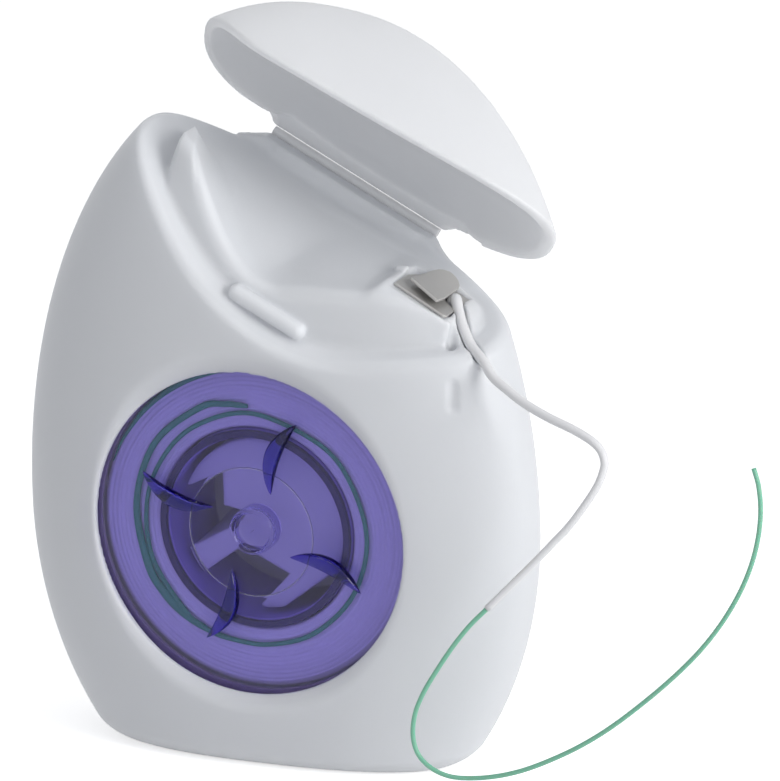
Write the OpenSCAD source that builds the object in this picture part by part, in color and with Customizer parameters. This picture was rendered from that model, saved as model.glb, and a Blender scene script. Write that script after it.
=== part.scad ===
/* [Case] */
// Width of the closed case across its widest point
case_width = 52; // [47:0.5:58]
// Thickness of the case, front face to back face
case_depth = 19; // [18.4:0.1:22]
// Height of the widest point above the table
belly_height = 23.8; // [22:0.2:26]
// Height of the closed case above its widest point
crown_height = 44; // [42:0.5:48]
// Depth that the lower half would have if its base were not cut flat
keel_depth = 34; // [31:0.5:40]
// Wall thickness of the moulded case
case_wall = 1.3; // [1.1:0.05:1.4]
// Radius of the edge round the flat base
foot_radius = 2; // [1:0.25:3]
// Squareness of the rolled edge between the faces, 2 being an ellipse
roll_power = 2.45; // [2.3:0.05:3]

/* [Mouth] */
// Height of the lowest part of the shoulder, at the front
shoulder_height = 41.6; // [41.2:0.2:42.4]
// Distance from the middle to where the shoulder starts to climb
shoulder_knee = 12; // [11:0.5:13]
// Height of the hinge line at its middle
hinge_height = 54.9; // [54.3:0.2:55.7]
// Distance of the hinge's middle from the case's middle
hinge_offset = 5; // [4.6:0.1:5.8]
// Angle that the hinge line slopes down to the right
hinge_slope = 28; // [26:0.5:29]
// Length of the thin strap that joins lid and case
strap_length = 19; // [14:0.5:20]
// Radius of the rolled bead where the strap bends
strap_radius = 0.45; // [0.35:0.05:0.55]
// Distance that the bead stands behind the case's back
strap_standoff = 0.7; // [0.4:0.05:0.9]
// Running gap between that bead and the lid's edge
strap_gap = 0.1; // [0.08:0.01:0.15]
// Angle that the lid stands open at rest
lid_open = 65.5; // [60:0.5:75]
// Wall thickness of the lid
lid_wall = 1.2; // [1:0.05:1.4]
// Gap between the closed lid's rim and the shoulder
rim_gap = 0.35; // [0.25:0.05:0.45]

/* [Neck] */
// Distance that the neck stands back from the outside of the case
neck_inset = 2.2; // [2:0.1:2.6]
// Height of the neck's front edge
neck_height = 48; // [47:0.1:48.6]
// Depth of the scoop in the neck's top
scoop_depth = 1.4; // [0.5:0.1:1.6]
// Length of the bump that the lid's rim clicks over
nub_length = 8.6; // [6:0.2:9]
// Width of that bump
nub_width = 1.8; // [1.2:0.1:2.2]
// Height of that bump off the neck
nub_height = 0.45; // [0.3:0.05:0.5]

/* [Cutter] */
// Length of the cutter plate along the hinge direction
cutter_length = 6.1; // [5.4:0.1:6.2]
// Width of the cutter plate, front to back
cutter_width = 6; // [5.4:0.1:6.2]
// Thickness of the cutter's sheet steel
cutter_sheet = 0.3; // [0.2:0.05:0.4]
// Height of the raised tongue over the plate
tongue_lift = 0.45; // [0.3:0.05:0.6]
// Radius of the hole that the floss leaves by
exit_radius = 0.8; // [0.7:0.05:1]

/* [Spool] */
// Radius of the round window in the case's front
window_radius = 16; // [15.4:0.1:16.6]
// Sideways distance of the spool's axis from the case's middle
spool_offset = -0.3; // [-0.6:0.1:0.6]
// Width of the dished rim round the window
dish_width = 2.8; // [2:0.1:3]
// Depth of the spool's front face behind the widest point of the case
spool_recess = 2.3; // [2.2:0.1:2.6]
// Distance that the spool's front flange reaches under the window's rim
flange_overlap = 1; // [0.5:0.1:1]
// Thickness of the spool's flanges
flange_thickness = 1; // [0.8:0.1:1.2]
// Outer radius of the spool's hub
hub_radius = 9.9; // [9.5:0.1:10.4]
// Wall thickness of the hub
hub_wall = 0.85; // [0.6:0.05:1]
// Width of the spool between its flanges
reel_width = 10.8; // [10:0.1:11]
// Radius of the pin that the spool turns on
pin_radius = 1.95; // [1.6:0.01:2.05]
// Running clearance round that pin
pin_clearance = 0.08; // [0.05:0.01:0.1]
// Height of the finger fins on the spool's face
fin_height = 0.9; // [0.6:0.1:1.1]
// Distance of a fin's inner tip from the spool's axis
fin_inner = 4.5; // [4:0.1:5]
// Distance of a fin's outer tip from the spool's axis
fin_outer = 12.3; // [11.6:0.1:13]

/* [Floss] */
// Radius of the full winding
winding_radius = 15.9; // [15:0.1:16]
// Diameter of the floss in the outer layer of turns
turn_diameter = 0.5; // [0.4:0.05:0.5]
// Turns in the outer layer
turn_count = 10; // [8:1:10]
// Diameter of the loose white floss
floss_diameter = 0.8; // [0.6:0.05:0.9]
// Diameter of the stiff green threader
threader_diameter = 0.42; // [0.36:0.02:0.6]

/* [Hidden] */
$fn = 72;

// The closed case is an egg: one rule gives its half width and half depth at any height.
half_width = case_width / 2;
half_depth = case_depth / 2;
case_top = belly_height + crown_height;
depth_power = 3.05;
around = 44;

function egg_span(z, inset) = (z > belly_height ? crown_height : keel_depth) - inset;
function egg_share(z, inset) = min(1, abs(z - belly_height) / egg_span(z, inset));
function foot_cut(z) = z < foot_radius ? foot_radius - sqrt(foot_radius ^ 2 - (foot_radius - max(z, 0)) ^ 2) : 0;
function wide(z, inset) = (half_width - inset) * sqrt(1 - egg_share(z, inset) ^ 2) - foot_cut(z - inset);
function deep(z, inset) = (half_depth - inset) * sqrt(1 - egg_share(z, inset) ^ depth_power) - foot_cut(z - inset);
function rolled(c) = sign(c) * abs(c) ^ (2 / roll_power);
function egg_point(a, z, inset) = [wide(z, inset) * rolled(cos(a)), deep(z, inset) * rolled(sin(a)), z];
// Distance from the middle plane to the egg's face at a place seen from the front.
function face_depth(x, z, inset) =
    deep(z, inset) * (max(0, 1 - min(1, abs(x) / max(wide(z, inset), 0.01)) ^ roll_power)) ^ (1 / roll_power);

// The mouth is ruled between the shoulder line in front and the hinge line behind.
mouth_front = 1 - half_depth;
mouth_back = half_depth - 1;
function climb(distance, rate, power) = rate * max(0, distance) ^ power;
function shoulder_line(x) = shoulder_height + climb(shoulder_knee - x, 0.00745, 2.45);
function hinge_line(x) = hinge_height - tan(hinge_slope) * (x - hinge_offset);
function across(y) = min(1, max(0, (y - mouth_front) / (mouth_back - mouth_front)));
function mouth(x, y) = shoulder_line(x) * (1 - across(y)) + hinge_line(x) * across(y);
// The lid's front rim runs straighter than the shoulder, which leaves a thumb recess below it.
rim_end = 22;
function lid_line(x) = shoulder_height + (climb(rim_end - x, 0.091, 1.444) ^ 16
    + (shoulder_line(x) - shoulder_height) ^ 16) ^ (1 / 16);
function lid_mouth(x, y) = lid_line(x) * (1 - across(y)) + hinge_line(x) * across(y);

// The neck's top runs from its front ridge over a scoop to a crease, then up to the hinge.
ridge_y = 3.3 - half_depth;
crease_y = half_depth - 5;
hinge_lip_y = half_depth - 3;
neck_left = -8.2;
function ridge_line(x) = neck_height + climb(3.5 - x, 0.0504, 2.45) - climb(x - 12, 0.22, 1);
function crease_line(x) = hinge_line(x) - 3.5 + 0.12 * (x - 3);
function neck_share(y) = min(1, max(0, (y - ridge_y) / (crease_y - ridge_y)));
function back_share(y) = min(1, max(0, (y - crease_y) / (hinge_lip_y - crease_y)));
function scoop(x, y) = scoop_depth * exp(-((x + 1.5) / 5) ^ 2) * 4 * neck_share(y) * (1 - neck_share(y));
function seat_rise(x) = 0.5 * max(0, min(1, (x - 10.6) / 2.6));
function neck_crown(x, y) = ridge_line(x) * (1 - neck_share(y)) + crease_line(x) * neck_share(y)
    + (hinge_line(x) - 0.6 - crease_line(x)) * back_share(y) - scoop(x, y) + seat_rise(x);
function neck_top(x, y) = min(neck_crown(x, y), hinge_line(x) - 0.6) - climb(neck_left - x, 3, 1.5);

// Sizes of the spool and its seat.
window_height = belly_height;
spool_front = spool_recess - half_depth;
reel_front = spool_front + flange_thickness;
reel_back = reel_front + reel_width;
flange_radius = window_radius + flange_overlap;
back_flange_radius = flange_radius - 0.6;
spool_clearance = 0.35;
lip_gap = 0.12;
bore_radius = pin_radius + pin_clearance;
boss_radius = bore_radius + 0.5;
boss_length = 3;
post_seat = reel_front + boss_length + 0.12;
post_front = reel_front + 0.32;
post_outer = hub_radius - hub_wall - 0.65;
post_back = half_depth - 0.6;
post_arms = [159, 214, 269];
arm_width = 3.3;
fin_count = 4;

// The hinge's axis lies just outside the back of the case.
strap_relief = strap_radius + strap_gap;
hinge_y = face_depth(hinge_offset, hinge_height, 0) + strap_standoff;
hinge_middle = [hinge_offset, hinge_y, hinge_height];
land_depth = 1.8;
land_height = 1.1;

// The cutter's place in the hinge's own frame: along the hinge, across it and above it.
plate_left = 10.4;
plate_front = -3.4 - hinge_y;
plate_top = -1.6;
exit_along = plate_left + cutter_length - 1.8;
exit_across = plate_front + 3.9;
exit_place = hinge_middle + [exit_along * cos(hinge_slope) + plate_top * sin(hinge_slope), exit_across,
    plate_top * cos(hinge_slope) - exit_along * sin(hinge_slope)];

// The rear cover's outline, its joint with the case and its snap tabs.
cover_width = half_width - 5.6;
cover_up = crown_height - 21;
cover_down = belly_height - 4.6;
cover_gap = 0.12;
tab_angles = [25, 155, 215, 325];

// Places along the loose strands, chosen by hand along the shape that they hang in.
floss_route = [[17.05, 0.5, 46.1], [17.4, 0.5, 46.75], [17.55, 0.45, 46.95], [17.75, 0.4, 47.05],
    [18, 0.3, 47.05], [18.2, 0.1, 46.85], [18.6, -0.3, 46.25], [19.1, -0.9, 45.45], [19.9, -1.8, 44.3],
    [21.1, -2.9, 43], [22.8, -4.2, 42.05], [24.2, -5.4, 41], [26, -6.4, 40.2], [28.2, -7.4, 39.3],
    [30.9, -8.4, 38.5], [33.7, -9.2, 37.8], [35.7, -9.8, 37.1], [36.7, -10.1, 36.4], [37.15, -10.35, 35.6],
    [37.2, -10.5, 34.8], [36.7, -10.9, 33.2], [35.5, -11.3, 31.2], [34, -11.6, 29.1], [32.4, -11.9, 27.3],
    [30.5, -12.2, 25.2], [28.2, -12.5, 22.8], [26.1, -12.7, 20.6]];
threader_route = [[26.1, -12.7, 20.6], [24.3, -12.9, 18.7], [22.7, -13.1, 16.6], [21.2, -13.3, 14.3],
    [19.8, -13.5, 11.9], [18.9, -13.6, 9.7], [18.7, -13.8, 7.6], [19.2, -13.9, 5.8], [20.5, -14, 4.6],
    [22.3, -14.1, 4], [24.3, -14.1, 4], [27, -14.2, 4.5], [29.8, -14.2, 5.4], [32.6, -14.1, 6.7],
    [35.6, -14, 8.4], [38.6, -13.9, 10.5], [41.7, -13.7, 13.1], [44.8, -13.6, 16], [47.4, -13.5, 18.8],
    [49.5, -13.4, 21.6], [51.2, -13.3, 24.5], [52.4, -13.2, 27.3], [53.1, -13, 30], [53.4, -12.9, 32.8],
    [53.2, -12.8, 35.2], [52.7, -12.7, 36.9]];
lead_x = spool_offset + winding_radius + 1;
lead_route = concat([for (z = [0.6, 4, 9, 14]) [lead_x, -1, belly_height + z]],
    [exit_place + [-0.9, -0.9, -4.7], exit_place + [-0.6, -0.2, -1.6], exit_place + [-0.35, 0, -0.65]]);

module hinge_frame() translate(hinge_middle) rotate([0, hinge_slope, 0]) children();
module opened() hinge_frame() rotate([-lid_open, 0, 0]) rotate([0, -hinge_slope, 0])
    translate(-hinge_middle) children();
// Puts a shape drawn on the XY plane, with Z towards the viewer, at a distance back from the middle.
module at_spool(y) translate([spool_offset, y, window_height]) rotate([90, 0, 0]) children();

// Closed skin over rings of points, each ring with the same number of points.
function skin_faces(count, rings) = concat(
    [[for (i = [0:count - 1]) i]],
    [for (k = [0:rings - 2], i = [0:count - 1], half = [0, 1])
        let (j = (i + 1) % count, a = k * count)
        half == 0 ? [a + i, a + count + i, a + count + j] : [a + i, a + count + j, a + j]],
    [[for (i = [count - 1:-1:0]) (rings - 1) * count + i]]);
module skin(rings) polyhedron([for (ring = rings, p = ring) p], skin_faces(len(rings[0]), len(rings)));

// The egg inside the case's outside by an inset, from its flat base to its top.
function egg_levels(inset) = concat(
    [for (s = [0:3]) inset + foot_radius * (1 - cos(s * 24))],
    [for (k = [0:5]) inset + foot_radius + (belly_height - foot_radius - inset) * k / 6],
    [for (k = [0:11]) belly_height + (crown_height - inset) * sin(k * 7.5)],
    [case_top - inset - 0.03]);
module egg(inset, sides = around) skin([for (z = egg_levels(inset))
    [for (i = [0:sides - 1]) egg_point(i * 360 / sides, z, inset)]]);

// Solid between two levels that are functions of the place in plan, over a net with given lines.
module slab(low, high, xs, ys) {
    nx = len(xs) - 1;
    ny = len(ys) - 1;
    count = (nx + 1) * (ny + 1);
    function at(i, j) = i * (ny + 1) + j;
    edge = concat([for (i = [0:nx - 1]) at(i, 0)], [for (j = [0:ny - 1]) at(nx, j)],
        [for (i = [nx:-1:1]) at(i, ny)], [for (j = [ny:-1:1]) at(0, j)]);
    polyhedron(concat([for (x = xs, y = ys) [x, y, low(x, y)]], [for (x = xs, y = ys) [x, y, high(x, y)]]), concat(
        [for (i = [0:nx - 1], j = [0:ny - 1], half = [0, 1])
            half == 0 ? [at(i, j), at(i + 1, j), at(i + 1, j + 1)] : [at(i, j), at(i + 1, j + 1), at(i, j + 1)]],
        [for (i = [0:nx - 1], j = [0:ny - 1], half = [0, 1])
            half == 0 ? [count + at(i, j), count + at(i + 1, j + 1), count + at(i + 1, j)]
                : [count + at(i, j), count + at(i, j + 1), count + at(i + 1, j + 1)]],
        [for (k = [0:len(edge) - 1], half = [0, 1])
            let (a = edge[k], b = edge[(k + 1) % len(edge)])
            half == 0 ? [a, count + a, count + b] : [a, count + b, b]]));
}

// Tube swept along a route, with its rings square to the route.
function unit(v) = v / norm(v);
function heading(route, i) = unit(route[min(i + 1, len(route) - 1)] - route[max(i - 1, 0)]);
function tube_ring(p, along, radius, sides) =
    let (side = unit(cross(along, [0, 1, 0])), up = cross(side, along))
    [for (k = [0:sides - 1]) p + radius * (cos(k * 360 / sides) * side - sin(k * 360 / sides) * up)];
module tube(route, radius, sides) skin([for (i = [0:len(route) - 1])
    tube_ring(route[i], heading(route, i), radius, sides)]);
function between(a, b, c, d, t) = 0.5 * (2 * b + (c - a) * t + (2 * a - 5 * b + 4 * c - d) * t ^ 2
    + (3 * b - a - 3 * c + d) * t ^ 3);
function smooth(route, steps) = concat([for (i = [0:len(route) - 2], s = [0:steps - 1])
    between(route[max(i - 1, 0)], route[i], route[i + 1], route[min(i + 2, len(route) - 1)], s / steps)],
    [route[len(route) - 1]]);

edge_y = half_depth + 1;
mouth_xs = concat([-half_width - 2], [for (i = [20:-1:0]) shoulder_knee - i * 1.3],
    [for (i = [1:4]) shoulder_knee + (half_width + 2 - shoulder_knee) * i / 4]);
mouth_ys = concat([-edge_y], [for (i = [0:5]) mouth_front + (mouth_back - mouth_front) * i / 5], [edge_y]);
neck_xs = concat([-half_width - 2, neck_left - 2.4, neck_left - 1.6, neck_left - 0.9, neck_left - 0.4],
    [for (i = [0:8]) neck_left + i * 1.3], [3.5, 6, 8.5, 10.6, 12, 13.2, 16.5, half_width + 2]);
neck_ys = [-edge_y, ridge_y, ridge_y + 1.8, ridge_y + 3.6, ridge_y + 5.4, ridge_y + 7.2, ridge_y + 9, crease_y,
    crease_y + 0.5, crease_y + 1, hinge_lip_y, edge_y];
module case_body(inset) intersection() {
    egg(inset);
    slab(function(x, y) -5, function(x, y) mouth(x, y) - inset, mouth_xs, mouth_ys);
}
module neck_body(inset) intersection() {
    egg(neck_inset + inset, 40);
    slab(function(x, y) shoulder_height - 9, function(x, y) neck_top(x, y) - inset, neck_xs, neck_ys);
}

// Outline of the rear cover as seen from behind, grown by a margin.
function cover_point(a, share, margin) = [(cover_width + margin) * share * cos(a),
    belly_height + ((sin(a) > 0 ? cover_up : cover_down) + margin) * share * sin(a)];
module cover_outline(margin) polygon([for (i = [0:47]) cover_point((i + 0.5) * 7.5, 1, margin)]);

// Rounded bump along the hinge's direction on the neck's front, where the thumb lifts the lid.
module nub(grow) {
    middle_x = 2;
    for_z = shoulder_line(middle_x) + 2.2;
    nub_y = -face_depth(middle_x, for_z, neck_inset);
    reach = nub_length / 2 - nub_width / 2;
    translate([middle_x, nub_y, for_z]) rotate([0, hinge_slope, 0])
        scale([1, (nub_height + grow) / (nub_width / 2 + grow), 1])
            hull() for (side = [-1, 1]) translate([side * reach, 0, 0]) sphere(nub_width / 2 + grow, $fn = 14);
}

// Channel that keeps the loose floss clear of the neck, the shoulder and the closed lid.
channel_radius = floss_diameter / 2 + 0.25;
module floss_channel() for (i = [6:10]) hull() for (p = [floss_route[i], floss_route[i + 1]], rise = [0, 1.5])
    translate(p + [0, 0, rise]) sphere(channel_radius, $fn = 8);

module window_cut() at_spool(0) rotate_extrude($fn = 64) polygon([
    [0, -reel_back], [flange_radius + spool_clearance, -reel_back],
    [flange_radius + spool_clearance, lip_gap - spool_front], [window_radius, lip_gap - spool_front],
    [window_radius, half_depth - 1.45], [window_radius + 0.3, half_depth - 1.2],
    [window_radius + dish_width * 0.4, half_depth - 0.8], [window_radius + dish_width * 0.75, half_depth - 0.35],
    [window_radius + dish_width, half_depth + 0.2], [window_radius + dish_width, half_depth + 3],
    [0, half_depth + 3]]);

// Room in the lid's rim for the case's ledge.
module land_room() hinge_frame() translate([-strap_length / 2 - 0.5, -land_depth - 0.9, -4])
    cube([strap_length + 1, land_depth + 3, 4 + rim_gap]);
// Straight ledge that carries one side of the strap, blended into the curved back.
module strap_land(side) hinge_frame() scale([1, 1, side]) hull() {
    translate([-strap_length / 2, -land_depth, rim_gap]) cube([strap_length, land_depth - 0.05, land_height]);
    translate([-strap_length / 2 + 1.5, -land_depth - 0.2, rim_gap]) cube([strap_length - 3, 0.7, land_height + 1.8]);
}
module strap_groove() hinge_frame() rotate([0, 90, 0]) cylinder(r = strap_relief, h = strap_length + 4, center = true);

module front_shell() color("white") difference() {
    union() {
        case_body(0);
        neck_body(0);
        nub(0);
        cutter_seat();
        strap_land(-1);
    }
    case_body(case_wall);
    neck_body(case_wall);
    translate([0, half_depth + 5, 0]) rotate([90, 0, 0]) linear_extrude(10) cover_outline(cover_gap);
    window_cut();
    strap_groove();
    floss_channel();
    hinge_frame() translate([0, 0, plate_top - cutter_sheet - 0.03]) linear_extrude(6) offset(delta = 0.1)
        plate_outline();
    exit_bore();
    neck_groove();
    finger_patch();
}

// Rounded platform round the cutter plate, level with it.
module cutter_seat() hinge_frame() hull() for (x = [plate_left - 0.2, plate_left + cutter_length - 0.2],
    y = [plate_front - 0.1, plate_front + 4], rise = [-3.4, -0.62])
    translate([x, max(y, plate_front + (x > plate_left ? 0.25 : -1)), plate_top + rise]) sphere(0.7, $fn = 16);
module exit_bore() hinge_frame() translate([exit_along, exit_across, -6]) cylinder(r = exit_radius, h = 9, $fn = 24);
// Groove that runs down the neck's front from the cutter to the shoulder.
module neck_groove() hull() for (rise = [0, 4.4]) let (x = half_width - 6.5, z = shoulder_height + rise)
    translate([x, -face_depth(x, z, neck_inset), z]) sphere(0.5, $fn = 10);
// Shallow rounded patch under the shoulder's right end.
module finger_patch() hull() for (inward = [5.9, 4.9], drop = [3.7, 1.6]) let (x = half_width - inward,
    z = shoulder_height - drop)
    translate([x, -face_depth(x, z, 0) - 0.3, z]) sphere(0.5, $fn = 10);

// Outline of the post inside the hub: a disc with a notch to each side of its middle arm.
module post_outline() {
    difference() {
        circle(post_outer);
        polygon([[0, 0], [-cos(21) * 20, sin(21) * 20], [-20, -20], [0, -20]]);
    }
    for (a = post_arms) rotate(a) translate([0, -arm_width / 2]) square([post_outer, arm_width]);
}

// A springy tab with a hook that clicks behind the case's back wall.
module snap_tab(a) {
    p = cover_point(a, 1, 0);
    wall_back = face_depth(p[0] * 1.03, belly_height + (p[1] - belly_height) * 1.03, case_wall);
    lean = atan2(sin(a) * cover_width, cos(a) * (sin(a) > 0 ? cover_up : cover_down));
    translate([p[0], wall_back, p[1]]) rotate([0, -lean, 0]) {
        translate([-1.6, -2.4, -1.8]) cube([1.2, 3.1, 3.6]);
        translate([0, 0, -1.8]) linear_extrude(3.6)
            polygon([[-0.6, -2.4], [-0.3, -2.4], [0.7, -0.9], [0.7, -0.25], [-0.6, -0.25]]);
    }
}

module rear_cover() color("white") {
    union() {
        skin([for (ring = [[0.02, case_wall], [0.35, case_wall], [0.7, case_wall], [1, case_wall],
            [1, 0], [0.85, 0], [0.6, 0], [0.3, 0], [0.02, 0]])
            [for (i = [0:47]) let (p = cover_point((-i - 0.5) * 7.5, ring[0], 0))
                [p[0], face_depth(p[0], p[1], ring[1]), p[1]]]]);
        at_spool(post_back) cylinder(r = pin_radius, h = post_back - reel_front - 0.25);
        at_spool(post_back) linear_extrude(post_back - post_seat) post_outline();
        at_spool(post_seat) linear_extrude(post_seat - post_front) difference() {
            post_outline();
            circle(boss_radius + 0.32);
        }
        for (a = tab_angles) snap_tab(a);
    }
}

module lid_skin() {
    function level(a, inset, low, high, n) = n == 0 ? high
        : let (m = (low + high) / 2, p = egg_point(a, m, inset))
        m > lid_mouth(p[0], p[1]) + rim_gap ? level(a, inset, low, m, n - 1) : level(a, inset, m, high, n - 1);
    angles = [for (i = [0:around - 1]) i * 360 / around];
    function arch(z, inset) = asin((z - belly_height) / (crown_height - inset));
    function ring(inset, k) = [for (a = angles)
        let (rim = arch(level(a, inset, shoulder_height - 2, case_top - inset - 0.1, 16), inset))
        egg_point(a, belly_height + (crown_height - inset) * sin(rim + (87.5 - rim) * k), inset)];
    skin(concat([for (k = [6:-1:0]) ring(lid_wall, k / 6)], [for (k = [0:8]) ring(0, k / 8)]));
}
// Low ridge inside the lid's front that rubs on the neck as the lid closes.
latch_middle = 10.5;
module latch_ridge() for (i = [-3:2]) hull() for (along = [i, i + 1]) let (x = latch_middle + along,
    z = lid_line(x) + 1.2) translate([x, -face_depth(x, z, lid_wall), z]) sphere(0.42, $fn = 8);
module flip_lid() color("white") opened() difference() {
    union() {
        difference() {
            lid_skin();
            land_room();
        }
        strap_land(1);
        latch_ridge();
    }
    strap_groove();
}

module hinge_strap() color("white") hinge_frame() rotate([0, 90, 0])
    cylinder(r = strap_radius, h = strap_length, center = true);

// The cutter's sheet seen square on, one back corner cut off under the moulding.
module plate_outline() translate([plate_left, plate_front]) polygon([[0, 0], [cutter_length - 1, -0.2],
    [cutter_length, 0.6], [cutter_length, cutter_width], [1.6, cutter_width], [0, cutter_width - 2.4]]);
// The raised tongue: straight front blade, rounded back.
module tongue_outline() translate([plate_left, plate_front]) {
    polygon([[1.2, 1.2], [4.2, 0.2], [4.3, 0.4], [4.3, 5.1], [1.3, 5.1], [1.25, 4.8]]);
    translate([2.8, 5.1]) circle(1.5);
}
module cutter_plate() color("silver") hinge_frame() translate([0, 0, plate_top - cutter_sheet]) {
    difference() {
        linear_extrude(cutter_sheet) plate_outline();
        translate([exit_along, exit_across, -1]) cylinder(r = exit_radius, h = 3);
        translate([exit_along + 0.4, exit_across - 0.26, -1]) rotate(-33.7) translate([0, -0.55, 0])
            cube([3, 1.1, 3]);
        translate([plate_left + 1, plate_front + 0.9, -1]) cube([2.2, 1.5, 3]);
    }
    translate([0, 0, cutter_sheet + tongue_lift]) difference() {
        linear_extrude(cutter_sheet) tongue_outline();
        translate([exit_along + 0.3, exit_across, -1]) cylinder(r = exit_radius + 0.35, h = 3);
    }
    translate([plate_left + 1.8, plate_front + cutter_width - 0.9, cutter_sheet / 2])
        cube([1.8, 0.7, tongue_lift + cutter_sheet]);
}

// A finger fin's outline is the crescent between two arcs that share their tips.
module fin() {
    reach = fin_outer - fin_inner;
    outer_bow = 1.9;
    inner_bow = 0.4;
    function bow_radius(bow) = (reach ^ 2 / 4 + bow ^ 2) / (2 * bow);
    linear_extrude(fin_height + 0.3) translate([fin_inner, 0]) rotate(6.5) translate([reach / 2, 0]) difference() {
        intersection() {
            translate([0, outer_bow - bow_radius(outer_bow)]) circle(bow_radius(outer_bow));
            translate([-reach / 2, 0]) square([reach, outer_bow * 2]);
        }
        translate([0, inner_bow - bow_radius(inner_bow)]) circle(bow_radius(inner_bow));
    }
}

module spool_bobbin() color([0.38, 0.3, 0.68]) {
    at_spool(0) rotate_extrude() polygon([
        [0, -reel_front], [bore_radius, -reel_front], [bore_radius, -reel_front - boss_length],
        [boss_radius, -reel_front - boss_length], [boss_radius, -reel_front],
        [hub_radius - hub_wall, -reel_front], [hub_radius - hub_wall, -reel_back - flange_thickness],
        [hub_radius, -reel_back - flange_thickness], [hub_radius, -reel_front], [flange_radius, -reel_front],
        [flange_radius, -spool_front - 0.25], [flange_radius - 0.25, -spool_front], [0, -spool_front]]);
    for (k = [0:fin_count - 1]) at_spool(spool_front + 0.3) rotate([0, 0, 61.5 + k * 360 / fin_count]) fin();
}

module spool_back_flange() color([0.38, 0.3, 0.68]) at_spool(reel_back + flange_thickness) difference() {
    cylinder(r = back_flange_radius, h = flange_thickness);
    translate([0, 0, -1]) cylinder(r = hub_radius + 0.01, h = 3);
}

turn_path = winding_radius - turn_diameter / 2;
core_radius = turn_path * cos(7.5) - turn_diameter / 2 - 0.02;
core_front = reel_front + 0.55;
core_back = reel_back - 0.05;
module floss_core() color("white") at_spool(core_back) difference() {
    cylinder(r = core_radius, h = core_back - core_front);
    translate([0, 0, -1]) cylinder(r = hub_radius + 0.02, h = 20);
}

// The outer layer winds along the reel as one strand.
ring_count = 24;
outer_pitch = (core_back - core_front - turn_diameter) / turn_count;
outer_turns = [for (i = [0:ring_count * turn_count]) let (a = i * 360 / ring_count)
    [spool_offset + turn_path * cos(a), core_front + turn_diameter / 2 + outer_pitch * i / ring_count,
        window_height + turn_path * sin(a)]];
module loop_tube(route, radius) skin([for (i = [0:len(route) - 1])
    let (along = heading(route, i), out = unit([route[i][0] - spool_offset, 0, route[i][2] - window_height]),
        side = unit(cross(along, out)))
    [for (k = [0:5]) route[i] + radius * (cos(k * 60 + 30) * out + sin(k * 60 + 30) * side)]]);
function self_gap(route, turn, width) = min([for (i = [0:len(route) - 1 - turn])
    norm(route[i + turn] - route[i])]) - width;
echo(outer_turn_gap = self_gap(outer_turns, ring_count, turn_diameter));
module floss_outer_turns() color("white") loop_tube(outer_turns, turn_diameter / 2);

// The green threader lies in a flat spiral on the winding's face, its first turn outside the second.
spiral_outer = hub_radius + 2.8;
spiral_inner = hub_radius + 1.6;
function spiral_radius(a) = a < 110 ? spiral_outer : a > 235 ? spiral_inner
    : spiral_outer + (spiral_inner - spiral_outer) * (1 - cos((a - 110) / 125 * 180)) / 2;
spiral = [for (i = [0:30]) let (a = i * 360 / ring_count, r = spiral_radius(a))
    [spool_offset + r * cos(95 + a), (reel_front + core_front) / 2, window_height + r * sin(95 + a)]];
echo(threader_turn_gap = self_gap(spiral, ring_count, threader_diameter));
module threader_turns() color("seagreen") loop_tube(spiral, threader_diameter / 2);

module floss_lead() color("white") tube(smooth(lead_route, 2), floss_diameter / 2, 8);
module floss_strand() color("white") tube(floss_route, floss_diameter / 2, 8);
module threader_strand() color("mediumseagreen") tube(smooth(threader_route, 2), threader_diameter / 2, 8);

front_shell();
rear_cover();
flip_lid();
hinge_strap();
cutter_plate();
spool_bobbin();
spool_back_flange();
floss_core();
floss_outer_turns();
threader_turns();
floss_lead();
floss_strand();
threader_strand();
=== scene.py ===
import math

import bpy
import numpy as np
import openvdb
from mathutils import Matrix, Vector


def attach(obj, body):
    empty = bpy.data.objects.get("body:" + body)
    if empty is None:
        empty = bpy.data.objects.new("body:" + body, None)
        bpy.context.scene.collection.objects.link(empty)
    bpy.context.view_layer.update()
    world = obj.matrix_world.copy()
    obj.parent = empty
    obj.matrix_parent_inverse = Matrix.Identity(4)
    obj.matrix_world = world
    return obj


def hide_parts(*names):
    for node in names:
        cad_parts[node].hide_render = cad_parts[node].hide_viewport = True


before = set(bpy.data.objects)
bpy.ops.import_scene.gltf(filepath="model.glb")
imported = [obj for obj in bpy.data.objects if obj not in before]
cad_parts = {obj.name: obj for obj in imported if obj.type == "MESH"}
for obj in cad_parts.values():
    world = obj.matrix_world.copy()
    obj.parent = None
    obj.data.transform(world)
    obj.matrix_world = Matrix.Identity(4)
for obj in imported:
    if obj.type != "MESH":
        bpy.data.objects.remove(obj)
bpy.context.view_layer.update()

MM = 0.001
CELL = 0.2

# Sizes in millimetres, as in the construction
HALF_WIDTH, HALF_DEPTH = 26.0, 9.5
BELLY, CROWN, KEEL = 23.8, 44.0, 34.0
PLAN_POWER, DEPTH_POWER = 2.45, 3.05
WALL, LID_WALL, FOOT = 1.3, 1.2, 2.0
NECK_INSET, NECK_START = 2.2, 30
SHOULDER, SHOULDER_RISE_END, RIM_END = 41.6, 12, 22
MOUTH_HALF = 8.5
SEAM = 0.35
HINGE = np.array([5.0, 8.246, 54.9])
SLOPE = math.radians(28)
OPEN = math.radians(65.5)
STRAP_HALF = 12
STRAP_ROOM, LID_STRAP_ROOM = 0.47, 0.53
LAND_GAP = 0.2
COVER_HALF, COVER_UP, COVER_DOWN = 20.4, 23.0, 19.2
COVER_FRONT, COVER_GAP = 2, 0.12
WINDOW_X, WINDOW_Z = -0.3, 23.8
WINDOW_R, SPOOL_ROOM = 16.0, 17.35
SPOOL_FRONT = -7.2
REEL_FRONT, REEL_BACK = -6.2, 4.6
FLANGE_R, REAR_DISC_R, HUB_OUTER = 17.0, 16.4, 9.85
STEP_R = 6.4
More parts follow.
